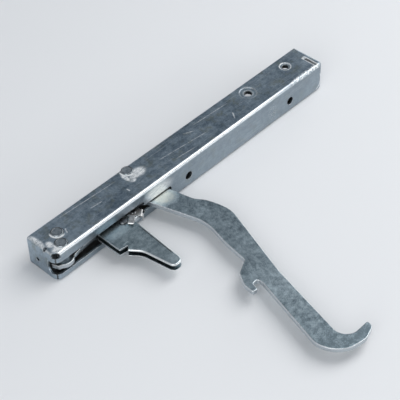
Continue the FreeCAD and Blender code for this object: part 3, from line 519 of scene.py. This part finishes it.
def zinc_sheet():
    finish = Finish("zinc_sheet")
    where, x, y, z = object_position(finish)
    tone, texture = zinc_film(finish, where)
    # Painted sheen: the channel gets lighter towards its near end.
    tone = tone + (1 - x.smooth(*NEAR_END_SHEEN)) * 0.07
    colour = zinc_colour(finish, x, y, z, where, tone)
    upper_face = z.smooth(17.3, 17.8)
    # Painted shade: a dark line round each rivet head, where head and sheet meet.
    rim_shade = strongest([ring(x, y, place, *RIVET_RIM_SHADE) for place in rivets]) * upper_face
    colour = finish.blend(rim_shade * 0.85, colour, SHADE_AND_OIL)
    marks = flank_marks(finish, x, y, where) * upper_face
    marks = marks.at_least(fold_marks(finish, x, y, z, where))
    shade_and_oil = inner_shade_and_oil(finish, x, y, z, where)
    normal, edge = rounded_edge(finish, 0.22)
    # bright holds the wear marks and a painted highlight on the rounded edges; both lighten the
    # colour below.
    bright = marks.at_least(edge * 0.85) * (1 - shade_and_oil * 0.8)
    # Painted shade and oil: the inside of the channel is darkened.
    colour = finish.blend(shade_and_oil.capped(), colour, SHADE_AND_OIL)
    colour = finish.blend(bright, colour, BRIGHT_METAL)
    height = texture + tone * 0.6 + marks * 0.15
    finish.set(
        Base_Color=colour,
        Metallic=1 - bright * 0.55,
        Roughness=0.20 + texture * 0.30 + marks * 0.12 + shade_and_oil * 0.25,
        Normal=bump(finish, height, 0.3, 0.06, normal),
    )
    return finish


wear(["housing"], zinc_sheet())

# %% [markdown]
# ## Stamped plate
#
# The arm is punched from thick plate and tumbled, so its faces are mottled and
# soft, and its edges are bright where the tumbling media rubbed them, with a
# painted highlight on them too. The part of it inside the channel is darkened
# brown by oil and painted shade. The arm, the clip, the leaf and the hidden
# plates are made alike, so one function gives them all their finish, each with
# its own colours, its own worn places and its own painted sheen and shade.

# %% Tumbled plate
CUT_METAL = (0.56, 0.60, 0.63)
SHEEN_AND_RUB_METAL = (0.76, 0.79, 0.73)
SHADE_AND_OIL_STEEL = (0.11, 0.105, 0.10)


def tumbled_plate(name, dark, light, roughness, fineness=1.0, rub_sheen_and_shade=(), creases=(), cut=0.8):
    """Mottled plate, its tone shifted in the ovals of painted sheen, painted shade and wear, with
    painted shade along the creases.
    """
    finish = Finish(name)
    where, x, y, _ = object_position(finish)
    clouds = finish.noise(where, 0.09 * fineness, 4.0, 0.6)
    mottle = finish.noise(where, 0.42 * fineness, 6.0, 0.75)
    pits = finish.noise(where, 1.7 * fineness, 3.0, 0.6)
    tone = clouds * 0.3 + mottle * 0.45 + pits * 0.25
    # Painted sheen and shade, and wear: each oval shifts the tone up or down.
    for centre, half, amount in rub_sheen_and_shade:
        tone = tone + smear(x, y, centre, half) * amount
    colour = finish.ramp(tone, [(0.41, dark), (0.61, light), (0.85, SHEEN_AND_RUB_METAL)])
    normal, edge = rounded_edge(finish, 0.3)
    upright, rim = cut_faces(finish)
    edge = edge.at_least(rim * cut)
    colour = finish.blend(upright * cut, colour, CUT_METAL)
    # Painted highlight: the rounded edges and the rim are lightened towards bright metal.
    colour = finish.blend(edge * 0.9, colour, BRIGHT_METAL)
    if creases:
        lines = strongest([scratch(x, y, *line) for line in creases])
        # Painted shade: a dark line along each crease.
        colour = finish.blend(lines * 0.7, colour, SHADE_AND_OIL_STEEL)
    # Painted shade and oil: the part inside the channel is darkened.
    inside = y.smooth(channel_low.y - 1.5, channel_low.y + 7.0)
    shade_and_oil = (inside * (mottle * 0.8 + 0.35)).capped()
    colour = finish.blend(shade_and_oil, colour, SHADE_AND_OIL_STEEL)
    finish.set(
        Base_Color=colour,
        Metallic=1 - edge * 0.6 * (1 - shade_and_oil),
        Roughness=roughness + mottle * 0.26 - edge * 0.1,
        Normal=bump(finish, mottle + pits * 0.6, 0.3, 0.07, normal),
    )
    return finish


print("rubbed plate is", SHEEN_AND_RUB_METAL, "and its cut faces are", CUT_METAL)

# %% [markdown]
# Each place is an oval: its centre and half sizes in millimetres, and how much
# lighter it is, or darker where the number is below zero. The arm has a painted
# sheen where it comes out of its slot, and a little painted shade at the hook.
# The clip has a painted sheen near the channel and at its tip, a worn scratch
# beside its tab, and a painted shade line along one crease.

# %% The arm, the clip, the leaf and the hidden plates
ARM_SHEEN_AND_SHADE = [
    ((-29.0, -12.5), (10.0, 9.0), 0.36),
    ((-34.0, -95.0), (30.0, 30.0), 0.03),
    ((-40.0, -140.0), (28.0, 22.0), -0.06),
]
CLIP_SHEEN_AND_SCRATCH = [
    ((-63.0, -14.6), (9.0, 3.6), 0.12),
    ((-56.5, -46.5), (4.0, 5.0), 0.10),
    ((-65.3, -22.6), (2.6, 0.5), 0.16),
]
CLIP_SHADED_CREASES = [((-52.8, -17.5), (-55.0, -46.0), 0.5)]
ARM_TONES = ((0.16, 0.21, 0.24), (0.47, 0.565, 0.61))
CLIP_TONES = ((0.175, 0.23, 0.255), (0.47, 0.565, 0.60))
LEAF_TONES = ((0.30, 0.30, 0.30), (0.56, 0.55, 0.54))
LINK_TONES = ((0.20, 0.23, 0.25), (0.40, 0.44, 0.46))
wear(["arm"], tumbled_plate("arm_steel", *ARM_TONES, 0.2, rub_sheen_and_shade=ARM_SHEEN_AND_SHADE))
clip_steel = tumbled_plate("clip_steel", *CLIP_TONES, 0.2, 1.2, CLIP_SHEEN_AND_SCRATCH, CLIP_SHADED_CREASES)
wear(["locking_clip"], clip_steel)
wear(["retaining_leaf"], tumbled_plate("leaf_steel", *LEAF_TONES, 0.26, 1.5, cut=0.3))
link_steel = tumbled_plate("link_steel", *LINK_TONES, 0.26)
wear(["link_strap", "spring_shackle", "anchor_plate"], link_steel)

# %% [markdown]
# ## Pins and rivets
#
# A rivet's head is pressed flat and rolled at its rim. A painted shade line lies
# in the corner between the flat and the rim, so the head reads as a plain disc
# with a dark line round it. The line needs the distance from the pin's own axis,
# so each pin gets its own small variant of one finish. The pins inside the
# channel and the clip's and leaf's rivets are darkened by oil and painted shade.

# %% The pins' finish
def turned_steel(name, centre, rim, dark, light):
    """Steel with fine turning lines, a painted shade line just inside the rim of its head, and a
    painted highlight on its rounded edges.
    """
    finish = Finish(name)
    where, x, y, z = object_position(finish)
    from_axis = distance(x, y, centre)
    mottle = finish.noise(where, 0.8, 4.0, 0.6)
    lines = finish.noise(stretched(finish, where, 0.15, 0.15, 3.0), 1.0, 3.0, 0.6)
    colour = finish.ramp(mottle * 0.6 + lines * 0.4, [(0.36, dark), (0.64, light)])
    # Painted shade: a dark line in the corner between the flat head and its rolled rim.
    line = 1 - (from_axis - rim * 0.84).maths("ABSOLUTE").smooth(0.06, 0.3)
    colour = finish.blend(line * z.smooth(17.6, 18.0) * 0.8, colour, SHADE_AND_OIL)
    normal, edge = rounded_edge(finish, 0.12)
    # Painted highlight: the rounded edges are lightened towards bright metal.
    colour = finish.blend(edge * 0.5, colour, BRIGHT_METAL)
    finish.set(
        Base_Color=colour,
        Metallic=1.0,
        Roughness=0.2 + mottle * 0.22,
        Normal=bump(finish, mottle, 0.2, 0.05, normal),
    )
    return finish


CLEAN_STEEL = ((0.22, 0.265, 0.29), (0.44, 0.48, 0.51))
# Dark tones for oiled steel that also stand in for painted shade.
SHADED_OILY_STEEL = ((0.09, 0.095, 0.10), (0.22, 0.23, 0.24))
CLEAN_PINS = [
    "pivot_pin", "open_stop_pin", "close_stop_pin",
    "spacer_lower", "spacer_upper", "arm_bush",
]
SHADED_OILY_PINS = [
    "stop_sleeve", "crank_pin", "crank_collar",
    "eye_pin", "clip_rivet", "leaf_rivet",
]
for names, tones in ((CLEAN_PINS, CLEAN_STEEL), (SHADED_OILY_PINS, SHADED_OILY_STEEL)):
    for name in names:
        low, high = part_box(name)
        rim = (high.x - low.x) / 2 / MM
        wear([name], turned_steel(f"turned_{name}", flat_place(name), rim, *tones))

# %% [markdown]
# ## The spring
#
# The spring in the model is a faceted stand-in that cannot stretch. A real
# spring is one piece of round wire, so here it is one smooth curve: a hook
# through the shackle, the coil, and a tail behind the anchor plate. A curve with
# a round bevel gives the wire its thickness.
#
# The first half circle of the line stands upright and is the hook. Then the line
# goes round and round the spring's axis, and moves on by one pitch in each turn.

# %% The wire's middle line
WIRE = 2.0 * MM
TURNS = 26
HOOK_STEPS = 9
TURN_STEPS = 14

spring_low, spring_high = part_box("return_spring")
plate_low, plate_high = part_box("anchor_plate")
coil_radius = (spring_high.z - spring_low.z) / 2 - WIRE / 2
axis = (spring_low + spring_high) / 2
coil_front = spring_low.x + coil_radius + WIRE / 2
coil_back = plate_low.x - WIRE * 2.2


def hook_and_coil():
    """Points along the wire, from the tip of the hook to the last turn."""
    points = []
    for step in range(HOOK_STEPS):
        angle = 1.5 * math.pi - math.pi * step / HOOK_STEPS
        x = coil_front + coil_radius * math.cos(angle)
        points.append(Vector((x, axis.y, axis.z + coil_radius * math.sin(angle))))
    pitch = (coil_back - coil_front) / TURNS
    for step in range(TURNS * TURN_STEPS + 1):
        angle = math.pi / 2 + 2 * math.pi * step / TURN_STEPS
        across = Vector((0, coil_radius * math.cos(angle), coil_radius * math.sin(angle)))
        x = coil_front + pitch * step / TURN_STEPS
        points.append(Vector((x, axis.y, axis.z)) + across)
    return points


def tail():
    """Points from the last turn through the anchor plate, and down behind it."""
    end = plate_high.x + WIRE / 2 + 0.1 * MM
    places = [
        (coil_back + WIRE * 0.8, coil_radius * 0.5),
        (coil_back + WIRE * 1.6, 0),
        (end - WIRE * 0.3, 0),
        (end, -WIRE * 0.3),
        (end, -WIRE * 2),
    ]
    return [Vector((x, axis.y, axis.z + rise)) for x, rise in places]


print(TURNS, "turns of", round(coil_radius / MM, 2), "mm radius")

# %% Wind the spring
def make_spring():
    """The wire as a mesh, which stands for the model's faceted spring."""
    points = hook_and_coil() + tail()
    line = bpy.data.curves.new("spring_line", "CURVE")
    line.dimensions = "3D"
    line.bevel_depth = WIRE / 2
    line.bevel_resolution = 3
    line.use_fill_caps = True
    wire_path = line.splines.new("NURBS")
    wire_path.points.add(len(points) - 1)
    for point, place in zip(wire_path.points, points):
        point.co = (*place, 1)
    wire_path.order_u = 4
    wire_path.use_endpoint_u = True
    wire_path.resolution_u = 2  # two faces along the wire for each point of its line
    holder = bpy.data.objects.new("spring_line", line)
    bpy.context.scene.collection.objects.link(holder)
    bpy.context.view_layer.update()
    mesh = bpy.data.meshes.new_from_object(holder)
    bpy.data.objects.remove(holder)
    spring = bpy.data.objects.new("spring_coil", mesh)
    bpy.context.scene.collection.objects.link(spring)
    mesh.shade_smooth()
    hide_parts("return_spring")
    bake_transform(spring)
    print("spring:", len(mesh.polygons), "faces")
    return spring


spring = make_spring()

# %% The wire's finish
WIRE_DARK, WIRE_LIGHT = (0.16, 0.17, 0.18), (0.30, 0.31, 0.32)


def spring_wire():
    finish = Finish("spring_wire")
    where, *_ = object_position(finish)
    film = finish.noise(where, 0.8, 4.0, 0.6)
    colour = finish.ramp(film, [(0.3, WIRE_DARK), (0.7, WIRE_LIGHT)])
    finish.set(Base_Color=colour, Metallic=1.0, Roughness=0.24 + film * 0.18)
    return finish


spring.data.materials.append(spring_wire().material)
print("spring wears", spring.data.materials[0].name)

# %% [markdown]
# ## Floor, light and air
#
# Metal shows its surroundings, so the studio is part of the finish. A pale floor
# fills the picture and is mirrored in the web of the channel. The flat top mirrors
# only air, which is a darker grey. The round bend turns through every direction
# from straight up to the floor, and so it picks up each lamp in turn: a wide
# soft one draws the bright band, and a low strip draws the thin line under it.

# %% The floor
FLOOR_PAPER = (0.80, 0.81, 0.82, 1)
FLOOR_HALF = 4.0


def pale_floor():
    paper = bmesh.new()
    bmesh.ops.create_grid(paper, x_segments=1, y_segments=1, size=FLOOR_HALF)
    mesh = bpy.data.meshes.new("floor")
    paper.to_mesh(mesh)
    paper.free()
    floor = bpy.data.objects.new("floor", mesh)
    bpy.context.scene.collection.objects.link(floor)
    finish = Finish("floor_paper")
    finish.set(Base_Color=FLOOR_PAPER, Roughness=0.75)
    floor.data.materials.append(finish.material)
    return floor


floor = pale_floor()
print("floor", [round(side, 1) for side in floor.dimensions], "m")

# %% Lamps and air
AIR = (0.29, 0.31, 0.34, 1)


def soft_lamp(name, place, width, height, brightness):
    """A soft rectangle in metres that faces the hinge, with its width along the channel."""
    data = bpy.data.lights.new(name, "AREA")
    data.shape = "RECTANGLE"
    data.size, data.size_y = width, height
    data.energy = brightness * math.pi * width * height
    facing = Vector(place).normalized()
    along = (Vector((1, 0, 0)) - facing * facing.x).normalized()
    lamp = bpy.data.objects.new(name, data)
    turned = Matrix((along, facing.cross(along), facing)).transposed().to_4x4()
    lamp.matrix_world = Matrix.Translation(place) @ turned
    bpy.context.scene.collection.objects.link(lamp)
    print(name, "gives", round(data.energy, 2), "W")


soft_lamp("bend_light", (0.58, -0.18, 0.88), 1.1, 0.62, 3.2)
soft_lamp("low_strip", (0.58, -0.86, 0.28), 1.3, 0.16, 4.0)
soft_lamp("rim_light", (0.98, 0.30, 0.20), 0.5, 0.3, 2.2)
soft_lamp("front_fill", (-0.9, -0.5, 0.6), 0.8, 0.8, 2.6)
air = bpy.data.worlds.new("studio_air")
air.use_nodes = True
air.node_tree.nodes["Background"].inputs["Color"].default_value = AIR
bpy.context.scene.world = air
bpy.context.scene.view_settings.view_transform = "Standard"
print("studio ready")
